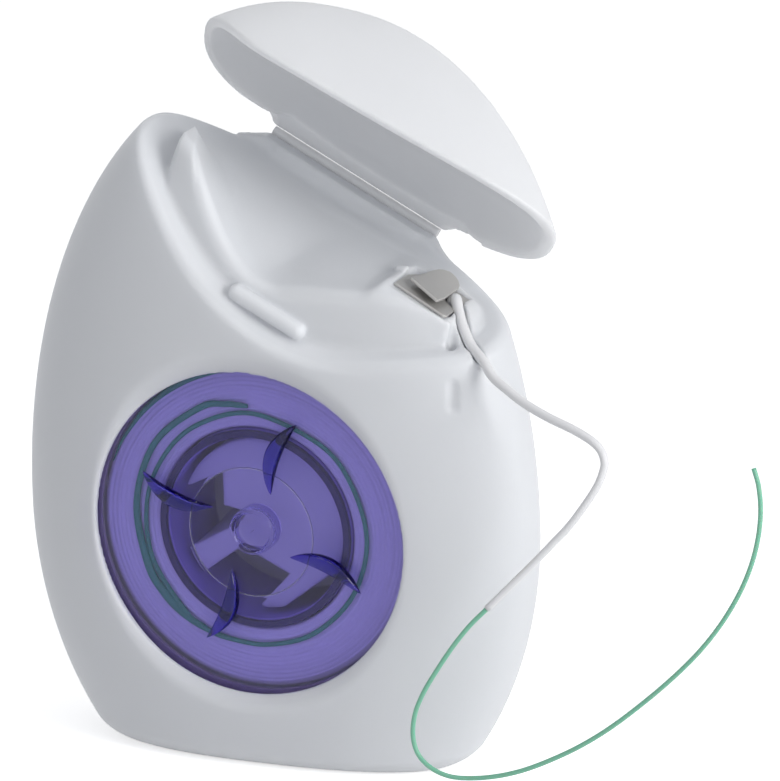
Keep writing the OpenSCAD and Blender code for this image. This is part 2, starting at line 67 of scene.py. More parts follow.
WINDING_R, WINDING_INNER = 15.9, 10.0
WINDING_FRONT, WINDING_REAR = -5.6, 4.5
PIN_R = 1.95

# The rear cover's post: a disc with three openings, between which its arms run out
POST_R, POST_FRONT, POST_REAR, POST_BORE = 8.4, -5.88, 9, 2.45
POST_OPENINGS = [
    [(-10, 3.0), (-7.55, 3.1), (-4.1, 4.8), (-4.0, 1.4),
     (-1.9, 0.9), (-2.6, -0.35), (-7.3, -2.9), (-10, -4.4)],
    [(-2.2, -2.4), (2.55, -4.8), (-0.45, -8.15), (-0.8, -10), (-9, -9), (-8, -6.75), (-6.2, -5.4)],
    [(1.85, -8.25), (7.35, -4.0), (9.6, -3.4), (9.6, -9.6), (2.5, -10)]]

# The cutter, in the hinge's frame: its outlines, levels and the hole where the strand comes out
PLATE_OUTLINE = [
    (10.42, -11.16), (16.15, -11.54), (16.4, -11.3), (16.4, -5.0), (12.0, -5.0), (10.5, -8.0)]
TONGUE_OUTLINE = [
    (11.42, -10.3), (14.95, -11.5), (15.15, -10.2), (15.14, -6.5), (14.95, -5.6), (14.5, -4.9),
    (13.9, -4.3), (13.2, -4.0), (12.6, -4.4), (12.25, -5.0), (12.0, -6.0), (11.8, -7.7)]
PLATE_LEVEL, TONGUE_LEVEL, SHEET_HALF = -1.75, -1.0, 0.15
EXIT_ALONG, EXIT_BEHIND = 15.45, -7.95

# Places along the loose strands
FLOSS_POINTS = [
    (17.7, 0.3, 45.77), (17.91, 0.28, 46.17), (18.13, 0.25, 46.45), (18.39, 0.1, 46.53),
    (18.63, -0.25, 46.3), (19.11, -0.9, 45.45), (19.9, -1.8, 44.3), (21.1, -2.9, 43),
    (22.8, -4.2, 42.05), (24.2, -5.4, 41), (26, -6.4, 40.2), (28.2, -7.4, 39.3), (30.9, -8.4, 38.5),
    (33.7, -9.2, 37.8), (35.7, -9.8, 37.1), (36.7, -10.1, 36.4), (37.15, -10.35, 35.6),
    (37.2, -10.5, 34.8), (36.7, -10.9, 33.2), (35.5, -11.3, 31.2), (34, -11.6, 29.1), (32.4, -11.9, 27.3),
    (30.5, -12.2, 25.2), (28.2, -12.5, 22.8), (26.1, -12.7, 20.6)]
THREADER_POINTS = [
    (26.1, -12.7, 20.6), (24.3, -12.9, 18.7), (22.7, -13.1, 16.6), (21.2, -13.3, 14.3),
    (19.8, -13.5, 11.9), (18.9, -13.6, 9.7), (18.7, -13.8, 7.6), (19.2, -13.9, 5.8), (20.5, -14, 4.6),
    (22.3, -14.1, 4), (24.3, -14.1, 4), (27, -14.2, 4.5), (29.8, -14.2, 5.4), (32.6, -14.1, 6.7),
    (35.6, -14, 8.4), (38.6, -13.9, 10.5), (41.7, -13.7, 13.1), (44.8, -13.6, 16), (47.4, -13.5, 18.8),
    (49.5, -13.4, 21.6), (51.2, -13.3, 24.5), (52.4, -13.2, 27.3), (53.1, -13, 30), (53.4, -12.9, 32.8),
    (53.2, -12.8, 35.2), (52.7, -12.7, 36.9)]
LEAD_POINTS = [
    (16.6, -1, 24.4), (16.6, -1, 27.8), (16.6, -1, 32.8), (16.6, -1, 37.8), (16.5, -0.5, 41.9),
    (17.2, 0.1, 44.6), (17.6, 0.3, 45.55)]

# Camera, fitted to the photo
EYE = Vector((266.5, -604.2, 233.5)) * MM
VIEW_BACK = Vector((0.389, -0.869, 0.3058))
VIEW_UP = Vector((-0.0951, 0.2923, 0.9516))
camera_data = bpy.data.cameras.new("camera")
camera = bpy.data.objects.new("camera", camera_data)
bpy.context.scene.collection.objects.link(camera)
back = VIEW_BACK.normalized()
right = VIEW_UP.cross(back).normalized()
up = back.cross(right)
camera.matrix_world = Matrix((
    (right.x, up.x, back.x, EYE.x),
    (right.y, up.y, back.y, EYE.y),
    (right.z, up.z, back.z, EYE.z),
    (0, 0, 0, 1)))

# Pixels per millimetre at the front of the case, and how fast that falls with distance
PIXELS_PER_MM, FALL = 10.49, 0.00146
IMAGE_WIDTH, IMAGE_HEIGHT = 780, 781
AIM_X, AIM_Y = 247, 535.5
SENSOR = 36
camera_data.sensor_fit = "HORIZONTAL"
camera_data.sensor_width = SENSOR
camera_data.lens = SENSOR * PIXELS_PER_MM / FALL / IMAGE_WIDTH
camera_data.shift_x = (IMAGE_WIDTH / 2 - AIM_X) / IMAGE_WIDTH
camera_data.shift_y = (AIM_Y - IMAGE_HEIGHT / 2) / IMAGE_WIDTH
camera_data.clip_start = 0.01
camera_data.clip_end = 20
bpy.context.scene.camera = camera


# Materials
def node(tree, kind, **values):
    """A shader node with its inputs or settings given by name."""
    n = tree.nodes.new(kind)
    for key, value in values.items():
        if key in n.inputs:
            n.inputs[key].default_value = value
        else:
            setattr(n, key, value)
    return n


def grain(tree, shader, scale, strength, depth, detail=3.0, stretch=None):
    """Fine bumps from a noise, which may be stretched along one axis."""
    place = node(tree, "ShaderNodeTexCoord")
    noise = node(tree, "ShaderNodeTexNoise", Scale=scale, Detail=detail)
    bump = node(tree, "ShaderNodeBump", Strength=strength, Distance=depth)
    if stretch:
        mapping = node(tree, "ShaderNodeMapping", Scale=stretch)
        tree.links.new(place.outputs["Object"], mapping.inputs["Vector"])
        tree.links.new(mapping.outputs["Vector"], noise.inputs["Vector"])
    else:
        tree.links.new(place.outputs["Object"], noise.inputs["Vector"])
    tree.links.new(noise.outputs["Fac"], bump.inputs["Height"])
    tree.links.new(bump.outputs["Normal"], shader.inputs["Normal"])
    return noise


def uneven(tree, shader, noise, low, high):
    """Lets the roughness vary with the noise."""
    spread = node(tree, "ShaderNodeMapRange")
    spread.inputs["To Min"].default_value = low
    spread.inputs["To Max"].default_value = high
    tree.links.new(noise.outputs["Fac"], spread.inputs["Value"])
    tree.links.new(spread.outputs["Result"], shader.inputs["Roughness"])


def material(name, color, roughness, bumps=None, shine=None, absorbs=None, **inputs):
    """A look of one colour. Bumps are what grain takes, shine the roughness from low to high."""
    look = bpy.data.materials.new(name)
    look.use_nodes = True
    tree = look.node_tree
    shader = tree.nodes["Principled BSDF"]
    shader.inputs["Base Color"].default_value = (*color, 1)
    shader.inputs["Roughness"].default_value = roughness
    for key, value in inputs.items():
        shader.inputs[key.replace("_", " ")].default_value = value
    if bumps:
        uneven(tree, shader, grain(tree, shader, *bumps), *shine)
    if absorbs:
        tint, density = absorbs
        volume = node(tree, "ShaderNodeVolumeAbsorption", Color=(*tint, 1), Density=density)
        tree.links.new(volume.outputs["Volume"], tree.nodes["Material Output"].inputs["Volume"])
    return look


MATT_BUMPS = (900, 0.04, 0.0002)
GLOSSY_BUMPS = (400, 0.03, 0.0002)
LINE_BUMPS = (1200, 0.06, 0.0001)
BRUSHED_BUMPS = (1500, 0.15, 0.0001, 4, (1, 14, 1))
FIBRE_BUMPS = (2500, 0.25, 0.0001, 4, (1, 1, 0.2))

white = material("white_plastic", (0.72, 0.735, 0.76), 0.42, MATT_BUMPS, (0.36, 0.5),
                 Subsurface_Weight=0.6, Subsurface_Scale=0.0025, Subsurface_Radius=(1, 1, 1))
# The lid's white is a lighter copy of the case's white plastic. Its lighter base colour is painted light
# that lifts the lid's shaded underside. Its deeper subsurface is the plastic's own translucency.
lid_lightened_white = material("lid_plastic_lightened", (0.765, 0.775, 0.795), 0.42, MATT_BUMPS, (0.36, 0.5),
                     Subsurface_Weight=0.85, Subsurface_Scale=0.004, Subsurface_Radius=(1, 1, 1))
steel = material("cutter_steel", (0.5, 0.49, 0.475), 0.45, BRUSHED_BUMPS, (0.36, 0.52), Metallic=0.55)
purple = material("purple_clear", (0.67, 0.62, 0.88), 0.06, GLOSSY_BUMPS, (0.04, 0.1),
                  ((0.06, 0.03, 0.88), 230.0), Transmission_Weight=1.0, IOR=1.35)
blade_look = material("purple_blade", (0.5, 0.42, 0.95), 0.06, GLOSSY_BUMPS, (0.04, 0.1),
                      ((0.14, 0.03, 0.78), 2200.0), Transmission_Weight=1.0, IOR=1.4)
# Painted shade: a near-black purple for the hub ring's front edge and a darker opaque purple for its wall,
# where the clear moulding looks dark.
deep = material("purple_painted_shade", (0.012, 0.006, 0.08), 0.35, GLOSSY_BUMPS, (0.3, 0.45))
hub_wall_shade_look = material("purple_wall_shaded", (0.36, 0.28, 0.66), 0.4, GLOSSY_BUMPS, (0.35, 0.5))
# Painted shade: a yellowish grey that, seen through the purple, stands in for the shaded gap and window
# wall around the winding.
rim_shade_look = material("painted_shade_rim", (0.62, 0.58, 0.45), 0.5, GLOSSY_BUMPS, (0.45, 0.6))
wound_green = material("green_wound", (0.05, 0.42, 0.17), 0.4, LINE_BUMPS, (0.3, 0.45))
green = material("green_threader", (0.2, 0.52, 0.36), 0.35, LINE_BUMPS, (0.3, 0.42),
                 Subsurface_Weight=0.2, Subsurface_Scale=0.0005)
floss = material("white_floss", (0.8, 0.8, 0.81), 0.5, FIBRE_BUMPS, (0.42, 0.6))


def new_object(name, points, faces, look, smooth=True):
    """A mesh from points in metres and faces of any number of corners."""
    mesh = bpy.data.meshes.new(name)
    mesh.from_pydata([tuple(p) for p in points], [], [tuple(f) for f in faces])
    mesh.materials.append(look)
    mesh.validate()
    if smooth:
        mesh.shade_smooth()
    obj = bpy.data.objects.new(name, mesh)
    bpy.context.scene.collection.objects.link(obj)
    return obj


def fast_object(name, points, quads, look):
    """A smooth mesh of four-sided faces from arrays."""
    mesh = bpy.data.meshes.new(name)
    mesh.vertices.add(len(points))
    mesh.vertices.foreach_set("co", np.asarray(points, np.float32).ravel())
    mesh.loops.add(quads.size)
    mesh.loops.foreach_set("vertex_index", quads.ravel().astype(np.int32))
    mesh.polygons.add(len(quads))
    mesh.polygons.foreach_set("loop_start", np.arange(len(quads), dtype=np.int32) * 4)
    mesh.polygons.foreach_set("use_smooth", np.ones(len(quads), dtype=bool))
    mesh.materials.append(look)
    mesh.update(calc_edges=True)
    mesh.validate()
    obj = bpy.data.objects.new(name, mesh)
    bpy.context.scene.collection.objects.link(obj)
    return obj


# Distance fields of the moulded case, on a grid in millimetres
def grid(low, high, cell):
    """Places on a grid of cells between two corners."""
    axes = [np.arange(a, b + cell, cell, dtype=np.float32) for a, b in zip(low, high)]
    return np.meshgrid(*axes, indexing="ij", sparse=True)


def normalised(f, cell):
    """The field divided by its slope, so that it measures distance."""
    gx, gy, gz = np.gradient(f, cell)
    return f / np.maximum(np.sqrt(gx * gx + gy * gy + gz * gz), 0.05)


def egg_field(x, y, z):
    """How far outside the egg a place is, near its surface."""
    span = np.where(z > BELLY, CROWN, KEEL)
    share = np.clip(np.abs(z - BELLY) / span, 0, 0.9995)
    wide = HALF_WIDTH * np.sqrt(1 - share ** 2)
    deep = HALF_DEPTH * np.sqrt(1 - share ** DEPTH_POWER)
    ratio = ((np.abs(x) / wide) ** PLAN_POWER + (np.abs(y) / deep) ** PLAN_POWER) ** (1 / PLAN_POWER)
    return (ratio - 1) * HALF_DEPTH


def both(a, b, radius):
    """Where a and b overlap, the edge between them rounded."""
    u, v = np.maximum(a + radius, 0), np.maximum(b + radius, 0)
    return np.minimum(np.maximum(a, b) + radius, 0) + np.sqrt(u * u + v * v) - radius


def either(a, b, radius):
    """a and b joined, the corner between them filleted."""
    return -both(-a, -b, radius)


def without(a, b, radius=0.0):
    """a with b cut away, the edge rounded if a radius is given."""
    return both(a, -b, radius) if radius else np.maximum(a, -b)


def climb(distance, rate, power):
    """Rises from zero with the distance, and stays zero before it."""
    return rate * np.maximum(0, distance) ** power


def shoulder_line(x):
    """Height of the case's front edge, which rises to the left."""
    return SHOULDER + climb(SHOULDER_RISE_END - x, 0.00745, 2.45)


def lid_line(x):
    """Height of the closed lid's front rim, above the shoulder line in the middle."""
    rim = climb(RIM_END - x, 0.091, 1.444)
    return SHOULDER + (rim ** 16 + (shoulder_line(x) - SHOULDER) ** 16) ** (1 / 16)


def hinge_line(x):
    """Height of the hinge, which slopes down to the right."""
    return HINGE[2] - math.tan(SLOPE) * (x - HINGE[0])


def ruled(front_line, x, y):
    """Surface of straight lines from a front edge back to the hinge's line."""
    share = np.clip((y + MOUTH_HALF) / (2 * MOUTH_HALF), 0, 1)
    return front_line(x) * (1 - share) + hinge_line(x) * share


def mouth(x, y):
    """Height of the case's open top edge."""
    return ruled(shoulder_line, x, y)


def lid_mouth(x, y):
    """Height of the closed lid's lower edge."""
    return ruled(lid_line, x, y)


def slope_of(surface, x, y):
    """Length of the surface's steepest step for one step sideways."""
    h = 0.05
    gx = (surface(x + h, y) - surface(x - h, y)) / (2 * h)
    gy = (surface(x, y + h) - surface(x, y - h)) / (2 * h)
    return np.sqrt(1 + gx ** 2 + gy ** 2)


def soft_step(t):
    t = np.clip(t, 0, 1)
    return t * t * (3 - 2 * t)


def neck_top(x, y):
    """Height of the neck's top: a front ridge, a hollow behind it, a crease before the hinge."""
    ridge = 48 + climb(3.5 - x, 0.0504, 2.45) - climb(x - 12, 0.22, 1)
    crease = hinge_line(x) - 3.5 + 0.12 * (x - 3)
    share = np.clip((y + 6.2) / 10.7, 0, 1)
    back_share = np.clip((y - 4.5) / 2, 0, 1)
    dish = 1.4 * np.exp(-((x + 1.5) / 5) ** 2) * 4 * share * (1 - share)
    seat = 0.5 * soft_step((x - 10.6) / 2.6)
    under_hinge = hinge_line(x) - 0.6
    top = ridge * (1 - share) + crease * share + (under_hinge - crease) * back_share - dish + seat
    return np.minimum(top, under_hinge) - climb(-8.2 - x, 3, 1.5)


def hinge_place(x, y, z):
    """Place in the hinge's frame: along it, behind it, above it."""
    dx, dz = x - HINGE[0], z - HINGE[2]
    return (dx * math.cos(SLOPE) - dz * math.sin(SLOPE), y - HINGE[1],
            dx * math.sin(SLOPE) + dz * math.cos(SLOPE))


def box_field(place, low, high, radius):
    """Distance to a box between two corners, its edges rounded."""
    total, inner = 0, -1e9
    for p, a, b in zip(place, low, high):
        q = np.abs(p - (a + b) / 2) - (b - a) / 2 + radius
        total = total + np.maximum(q, 0) ** 2
        inner = np.maximum(inner, q)
    return np.sqrt(total) + np.minimum(inner, 0) - radius


def capsule(place, a, b, radius):
    """Distance to a rod with round ends."""
    a, b = np.array(a, float), np.array(b, float)
    ab = b - a
    t = sum((p - q) * s for p, q, s in zip(place, a, ab)) / float(ab @ ab)
    t = np.clip(t, 0, 1)
    return np.sqrt(sum((p - (q + s * t)) ** 2 for p, q, s in zip(place, a, ab))) - radius


def to_mesh(name, field, low, cell, look, move=None):
    """The surface where the field is zero, as an object, its points moved if asked."""
    band = 3 * cell
    values = np.clip(field, -band, band).astype(np.float32)
    for side in ((0,), (-1,), (slice(None), 0), (slice(None), -1),
                 (slice(None), slice(None), 0), (slice(None), slice(None), -1)):
        values[side] = band
    vdb = openvdb.FloatGrid(band)
    vdb.copyFromArray(values, tolerance=1e-5)
    points, quads = vdb.convertToQuads(isovalue=0.0)
    points = points * cell + np.array(low)
    if move is not None:
        points = move(points)
    return fast_object(name, points * MM, quads[:, ::-1], look)


def cover_outline(x, z):
    """How far outside the rear cover's outline a place is."""
    up = np.where(z > BELLY, COVER_UP, COVER_DOWN)
    return (np.sqrt((x / COVER_HALF) ** 2 + ((z - BELLY) / up) ** 2) - 1) * 20


def from_axis(x, z):
    """Distance from the spool's axis."""
    return np.sqrt((x - WINDOW_X) ** 2 + (z - WINDOW_Z) ** 2)


def hinge_land(place, side):
    """Ledge along the hinge on the case (-1) or the lid (1), its ends run out into the wall."""
    along, behind, above = place
    rise = above * side
    ledge_back, ledge_straight = -0.05, 9.5
    ledge = box_field((along, behind, rise), (-13, -1.8, LAND_GAP), (13, ledge_back, 1.45), 0.12)
    past_end = np.maximum(0, np.abs(along) - ledge_straight)
    ledge = np.maximum(ledge, (behind - ledge_back + 0.62 * past_end) / 1.18)
    ledge = np.maximum(ledge, (LAND_GAP + 0.45 * past_end - rise) / 1.1)
    web = box_field((along, behind, rise), (-8.0, -2.0, LAND_GAP), (8.0, -1.3, 3.25), 0.3)
    return either(ledge, web, 0.8)


def case_body(x, y, z, egg):
    """The solid body below the mouth, with its edge rounded, standing on a flat foot."""
    over_mouth = (z - mouth(x, y)) / slope_of(mouth, x, y)
    return both(both(egg, over_mouth, 0.8), -z, FOOT)


def case_neck(x, y, z, egg, cell):
    """The neck that the lid slips over, set in from the body's outside."""
    top = neck_top(x, y)
    gx, gy = np.gradient(top[:, :, 0], cell)
    over_neck = (z - top) / np.sqrt(1 + gx ** 2 + gy ** 2)[:, :, None]
    neck = both(egg + NECK_INSET, over_neck, 1.3)
    return np.maximum(neck, NECK_START - z)


def with_shoulder_parts(solid, place):
    """Adds the cutter's platform and stake, the thumb's nub and the ledge of the hinge."""
    along, behind, above = place
    shelf = (along, behind + 0.9 * soft_step((11 - along) / 2), above)
    platform = box_field(shelf, (9.5, -12.1, -5.7), (17.7, -5.6, -1.52), 0.8)
    solid = either(solid, platform, 0.7)
    stake = capsule(place, (9.4, -7.9, -1.7), (11.6, -8.0, -0.75), 0.42)
    solid = either(solid, stake, 0.25)
    nub_x, nub_y, nub_half = 2.0, -7.02, 3.4
    nub_z = shoulder_line(nub_x) + 2.2
    u, v, p = hinge_place(np.array(nub_x), np.array(nub_y), np.array(nub_z))
    nub = capsule(place, (u - nub_half, v, p), (u + nub_half, v, p), 0.85)
    solid = either(solid, nub, 0.12)
    return either(solid, hinge_land(place, -1), 0.6)


def without_window(shell, x, y, z):
    """Cuts the round window with its dished rim, and the room of the spool's flange behind it."""
    ring = from_axis(x, z)
    hole = np.maximum(ring - WINDOW_R, y - 5)
    dish = (y + 8.15 + (ring - WINDOW_R) * 0.5) / 1.12
    shell = without(shell, np.maximum(np.minimum(hole, dish), y + 6), 0.3)
    return without(shell, np.maximum(ring - SPOOL_ROOM, np.maximum(-7.32 - y, y - 5.8)))


def without_seats(shell, place):
    """Cuts the rooms of the hinge's web and of the cutter, and the hole where the strand comes out."""
    hinge_room = capsule(place, (-STRAP_HALF, 0, 0), (STRAP_HALF, 0, 0), STRAP_ROOM)
    shell = without(shell, hinge_room)
    shell = without(shell, box_field(place, (-13, -2.1, -LAND_GAP), (13, 0.5, 3), 0.05))
    pocket = box_field(place, (10.3, -11.85, -1.93), (16.6, -5.55, 4), 0.15)
    shell = without(shell, pocket, 0.12)
    hole = capsule(place, (EXIT_ALONG, EXIT_BEHIND, -9), (EXIT_ALONG, EXIT_BEHIND, 2), 0.75)
    shell = without(shell, hole, 0.1)
    return without(shell, box_field(place, (9.6, -14.5, -1.74), (17.6, -10.5, 3), 0.4), 0.2)


def without_grooves(shell, x, y, z):
    """Cuts the strand's groove over the edge, the short groove in the neck and the finger patch."""
    for a, b in zip(FLOSS_PATH[4:9], FLOSS_PATH[5:10]):
        for rise in (0, 0.75, 1.5):
            lift = np.array((0, 0, rise))
            shell = without(shell, capsule((x, y, z), a + lift, b + lift, 0.65), 0.15)
    neck_groove = capsule((x, y, z), (19.3, -4.15, 41.6), (19.5, -2.65, 45.9), 0.5)
    shell = without(shell, neck_groove, 0.4)
    patch = capsule((x, y, z), (20.6, -6.5, 37.9), (20.6, -6.25, 40.0), 0.62)
    return without(shell, patch, 0.25)


def moulded_case():
    """The hollow front shell with its neck, window, seats and grooves."""
    cell = CELL
    low = (-26.6, -10.2, -0.7)
    x, y, z = grid(low, (26.6, 10.2, 63.5), cell)
    egg = normalised(egg_field(x, y, z), cell)
    body = case_body(x, y, z, egg)
    neck = case_neck(x, y, z, egg, cell)
    place = hinge_place(x, y, z)
    solid = with_shoulder_parts(either(body, neck, 0.45), place)
    hollow = np.maximum(np.minimum(body, neck) + WALL, WALL - z)
    shell = without(solid, hollow, 0.15)
    shell = without(shell, np.maximum(cover_outline(x, z) - COVER_GAP, -y), 0.15)
    shell = without_window(shell, x, y, z)
    shell = without_seats(shell, place)
    shell = without_grooves(shell, x, y, z)
    return to_mesh("case_moulding", shell, low, cell, white)


def moulded_lid():
    """The thin dome, made closed and turned open."""
    cell = CELL
    low = (-15.5, -10.2, 39.5)
    x, y, z = grid(low, (26.6, 10.2, 68.6), cell)
    egg = normalised(egg_field(x, y, z), cell)
    under = (lid_mouth(x, y) + SEAM - z) / slope_of(lid_mouth, x, y)
    place = hinge_place(x, y, z)
    shell = without(both(egg, under, 0.35), egg + LID_WALL, 0.3)
    shell = without(shell, box_field(place, (-14, -2.7, -4), (14, 2.1, LAND_GAP), 0.1), 0.1)
    shell = either(shell, hinge_land(place, 1), 0.5)
    shell = without(shell, box_field(place, (-13, -2.7, -2), (13, 0.5, LAND_GAP), 0.05))
    shell = without(shell, capsule(place, (-STRAP_HALF, 0, 0), (STRAP_HALF, 0, 0), LID_STRAP_ROOM))
    return to_mesh("lid_moulding", shell, low, cell, lid_lightened_white, opened)


def opened(points):
    """Turns places on the closed lid about the hinge to where the lid stands open."""
    along = (math.cos(SLOPE), 0, -math.sin(SLOPE))
    above = (math.sin(SLOPE), 0, math.cos(SLOPE))
    to_frame = np.array((along, (0, 1, 0), above))
    c, s = math.cos(-OPEN), math.sin(-OPEN)
    turn = np.array(((1, 0, 0), (0, c, -s), (0, s, c)))
    return (points - HINGE) @ to_frame.T @ turn.T @ to_frame + HINGE


def back_cover():
    """The rear panel with the spool's pin and the star-shaped post."""
    cell = CELL
    low = (-21.4, -4.2, 3.6)
    x, y, z = grid(low, (21.4, 10.2, 47.8), cell)
    egg = normalised(egg_field(x, y, z), cell)
    panel = both(both(egg, cover_outline(x, z), 0.2), COVER_FRONT - y, 0.1)
    panel = without(panel, egg + WALL, 0.1)
    ring = from_axis(x, z)
    disc = ring - POST_R
    for corners in POST_OPENINGS:
        disc = np.maximum(disc, -polygon_field(x - WINDOW_X, z - WINDOW_Z, corners))
    post = both(both(disc + 0 * y, POST_FRONT - y, 0.15), y - POST_REAR, 0.1)
    post = without(post, np.maximum(ring - POST_BORE, y - REEL_FRONT - 1.4))
    pin = np.maximum(ring - PIN_R, np.maximum(REEL_FRONT + 0.25 - y, y - POST_REAR))
    post = np.minimum(post, pin)
    return to_mesh("cover_moulding", np.minimum(panel, post), low, cell, white)


def polygon_field(u, v, corners):
    """Distance to a polygon's edge, negative inside."""
    inside = np.zeros(np.broadcast(u, v).shape, bool)
    nearest = np.full(inside.shape, 1e9)
    for (ax, ay), (bx, by) in zip(corners, corners[1:] + corners[:1]):
        ex, ey = bx - ax, by - ay
        t = np.clip(((u - ax) * ex + (v - ay) * ey) / (ex * ex + ey * ey), 0, 1)
        nearest = np.minimum(nearest, np.hypot(u - ax - ex * t, v - ay - ey * t))
        crosses = (ay > v) != (by > v)
        inside ^= crosses & (u < ax + (v - ay) * ex / (ey if ey else 1e-9))
    return np.where(inside, -nearest, nearest)


def cutter():
    """The stamped plate with its raised tongue, made in the hinge's frame."""
    cell = 0.05
    low = (10.0, -12.2, -2.1)
    u, v, p = grid(low, (17.0, -3.2, -0.3), cell)
    across, deep_in = np.broadcast_arrays(u[:, :, 0], v[:, :, 0])
    plate = polygon_field(across, deep_in, PLATE_OUTLINE)

    # The hole of the strand runs out into a slot, towards the side where the strand leaves
    run_along, run_behind, run_length = 0.83, -0.55, 3
    from_u, from_v = across - EXIT_ALONG, deep_in - EXIT_BEHIND
    ramp = np.clip(from_u * run_along + from_v * run_behind, 0, run_length)
    slot = np.hypot(from_u - run_along * ramp, from_v - run_behind * ramp) - 0.58
    slot = np.minimum(slot, np.hypot(from_u, from_v) - 0.68)
    plate = np.maximum(plate, -slot)
    sheet = both(plate[:, :, None], np.abs(p - PLATE_LEVEL) - SHEET_HALF, 0.03)

    tongue = polygon_field(across, deep_in, TONGUE_OUTLINE)
    level = TONGUE_LEVEL - 0.035 * (v + 4.5)
    blade = both(tongue[:, :, None], np.abs(p - level) - SHEET_HALF, 0.03)
    bend = box_field((u, v, p), (12.6, -5.9, -1.7), (14.4, -5.1, -0.95), 0.1)
    metal = either(either(sheet, bend, 0.15), blade, 0.15)

    def to_world(points):
        a, b, c = points.T
        x = a * math.cos(SLOPE) + c * math.sin(SLOPE)
        z = -a * math.sin(SLOPE) + c * math.cos(SLOPE)
        return np.stack((x, b, z), 1) + HINGE
    return to_mesh("cutter_metal", metal, low, cell, steel, to_world)


def around_axis(r, turn, y):
    """Place in metres at a distance and an angle about the spool's axis."""
    return ((WINDOW_X + r * math.cos(turn)) * MM, y * MM, (WINDOW_Z + r * math.sin(turn)) * MM)


def revolve(name, profile, look, sides=128, wobble=None):
    """Turns a closed profile of (radius, y) about the spool's axis."""
    points, faces = [], []
    n = len(profile)
    for i in range(sides):
        a = 2 * math.pi * i / sides
        for j, (r, y) in enumerate(profile):
            dr, dy = wobble(a, j) if wobble else (0, 0)
            points.append(around_axis(r + dr, a, y + dy))
    for i in range(sides):
        k = (i + 1) % sides
        for j in range(n):
            m = (j + 1) % n
            faces.append((i * n + j, k * n + j, k * n + m, i * n + m))
    return new_object(name, points, faces, look)


def ring_profile(inner, outer, front, rear):
    """Square section of a ring."""
    return [(inner, front), (inner, rear), (outer, rear), (outer, front)]


def rounded(profile, radius, steps=4):
    """Rounds the corners of a closed profile."""
    out = []
    n = len(profile)
    for i in range(n):
        p, a, b = (np.array(profile[k % n], float) for k in (i, i - 1, i + 1))
        va, vb = a - p, b - p
        la, lb = np.linalg.norm(va), np.linalg.norm(vb)
        r = min(radius, la * 0.45, lb * 0.45)
        s, e = p + va / la * r, p + vb / lb * r
        for k in range(steps + 1):
            t = k / steps
            out.append(tuple((1 - t) ** 2 * s + 2 * t * (1 - t) * p + t * t * e))
    return out


def spool():
    """The clear front moulding, the hub's wall and edge in painted shade, the flange's rim as a painted
    shade ring, and the rear disc.
    """
    web = SPOOL_FRONT + 0.08
    boss_in, boss_out, boss_rear = 2.03, 2.25, REEL_FRONT + 1.2
    front = [
        (0.02, REEL_FRONT), (boss_in, REEL_FRONT), (boss_in, boss_rear), (boss_out, boss_rear),
        (boss_out, REEL_FRONT), (FLANGE_R, REEL_FRONT), (FLANGE_R, SPOOL_FRONT),
        (STEP_R + 0.2, SPOOL_FRONT), (STEP_R, web)]
    boss_face = [
        (boss_out, web), (2.15, web - 0.16), (1.95, web - 0.16), (1.8, web + 0.06), (1.35, web + 0.06),
        (1.0, web - 0.12), (0.5, web - 0.2), (0.02, web - 0.2)]
    body = revolve("spool_moulding", rounded(front + boss_face, 0.07), purple)
    # The hub's wall and its front edge are opaque darker purples: painted shade where the clear hub ring
    # looks dark.
    edge_front, wall_front = REEL_FRONT + 0.02, REEL_FRONT + 0.6
    wall = ring_profile(9.05, HUB_OUTER, wall_front, REEL_BACK + 1)
    wall = revolve("hub_wall", rounded(wall, 0.1), hub_wall_shade_look)
    edge = ring_profile(9.2, HUB_OUTER, edge_front, wall_front)
    edge = revolve("hub_edge", rounded(edge, 0.08), deep)
    # Painted shade: an opaque ring at the flange's edge in place of the shaded gap between the window's
    # wall and the winding.
    rim = [(16.0, edge_front), (16.0, wall_front), (16.9, REEL_FRONT + 0.4), (16.9, edge_front)]
    rim = revolve("flange_shade_rim", rounded(rim, 0.05), rim_shade_look)
    disc = [
        (9.95, REEL_BACK), (REAR_DISC_R, REEL_BACK), (REAR_DISC_R, REEL_BACK + 1), (9.95, REEL_BACK + 1)]
    disc = revolve("spool_rear_disc", rounded(disc, 0.12), purple)
    return (body, wall, edge, rim), disc


def fin(name, turn):
    """One finger fin: a crescent blade, thin and pointed at both ends, highest in the middle."""
    points, faces = [], []
    steps, ring = 40, 14
    inner, reach, lean = 4.5, 7.8, math.radians(6.5)
    for i in range(steps + 1):
        t = i / steps
        bulge = 4 * t * (1 - t)
        middle = 1.15 * bulge
        half = 0.02 + 0.78 * bulge ** 0.9
        high = 0.06 + 0.86 * bulge ** 0.55
        for k in range(ring):
            a = math.pi * k / (ring - 1)
            u = reach * t
            v = middle + half * math.cos(a)
            h = high * max(0.0, math.sin(a)) ** 0.8
            px = inner + u * math.cos(lean) - v * math.sin(lean)
            py = u * math.sin(lean) + v * math.cos(lean)
            points.append(around_axis(math.hypot(px, py), turn + math.atan2(py, px), SPOOL_FRONT + 0.1 - h))
    for i in range(steps):
        for k in range(ring):
            m = (k + 1) % ring
            faces.append((i * ring + k, i * ring + m, (i + 1) * ring + m, (i + 1) * ring + k))
    faces.append(tuple(range(ring)))
    faces.append(tuple(steps * ring + k for k in reversed(range(ring))))
    return new_object(name, points, faces, blade_look)


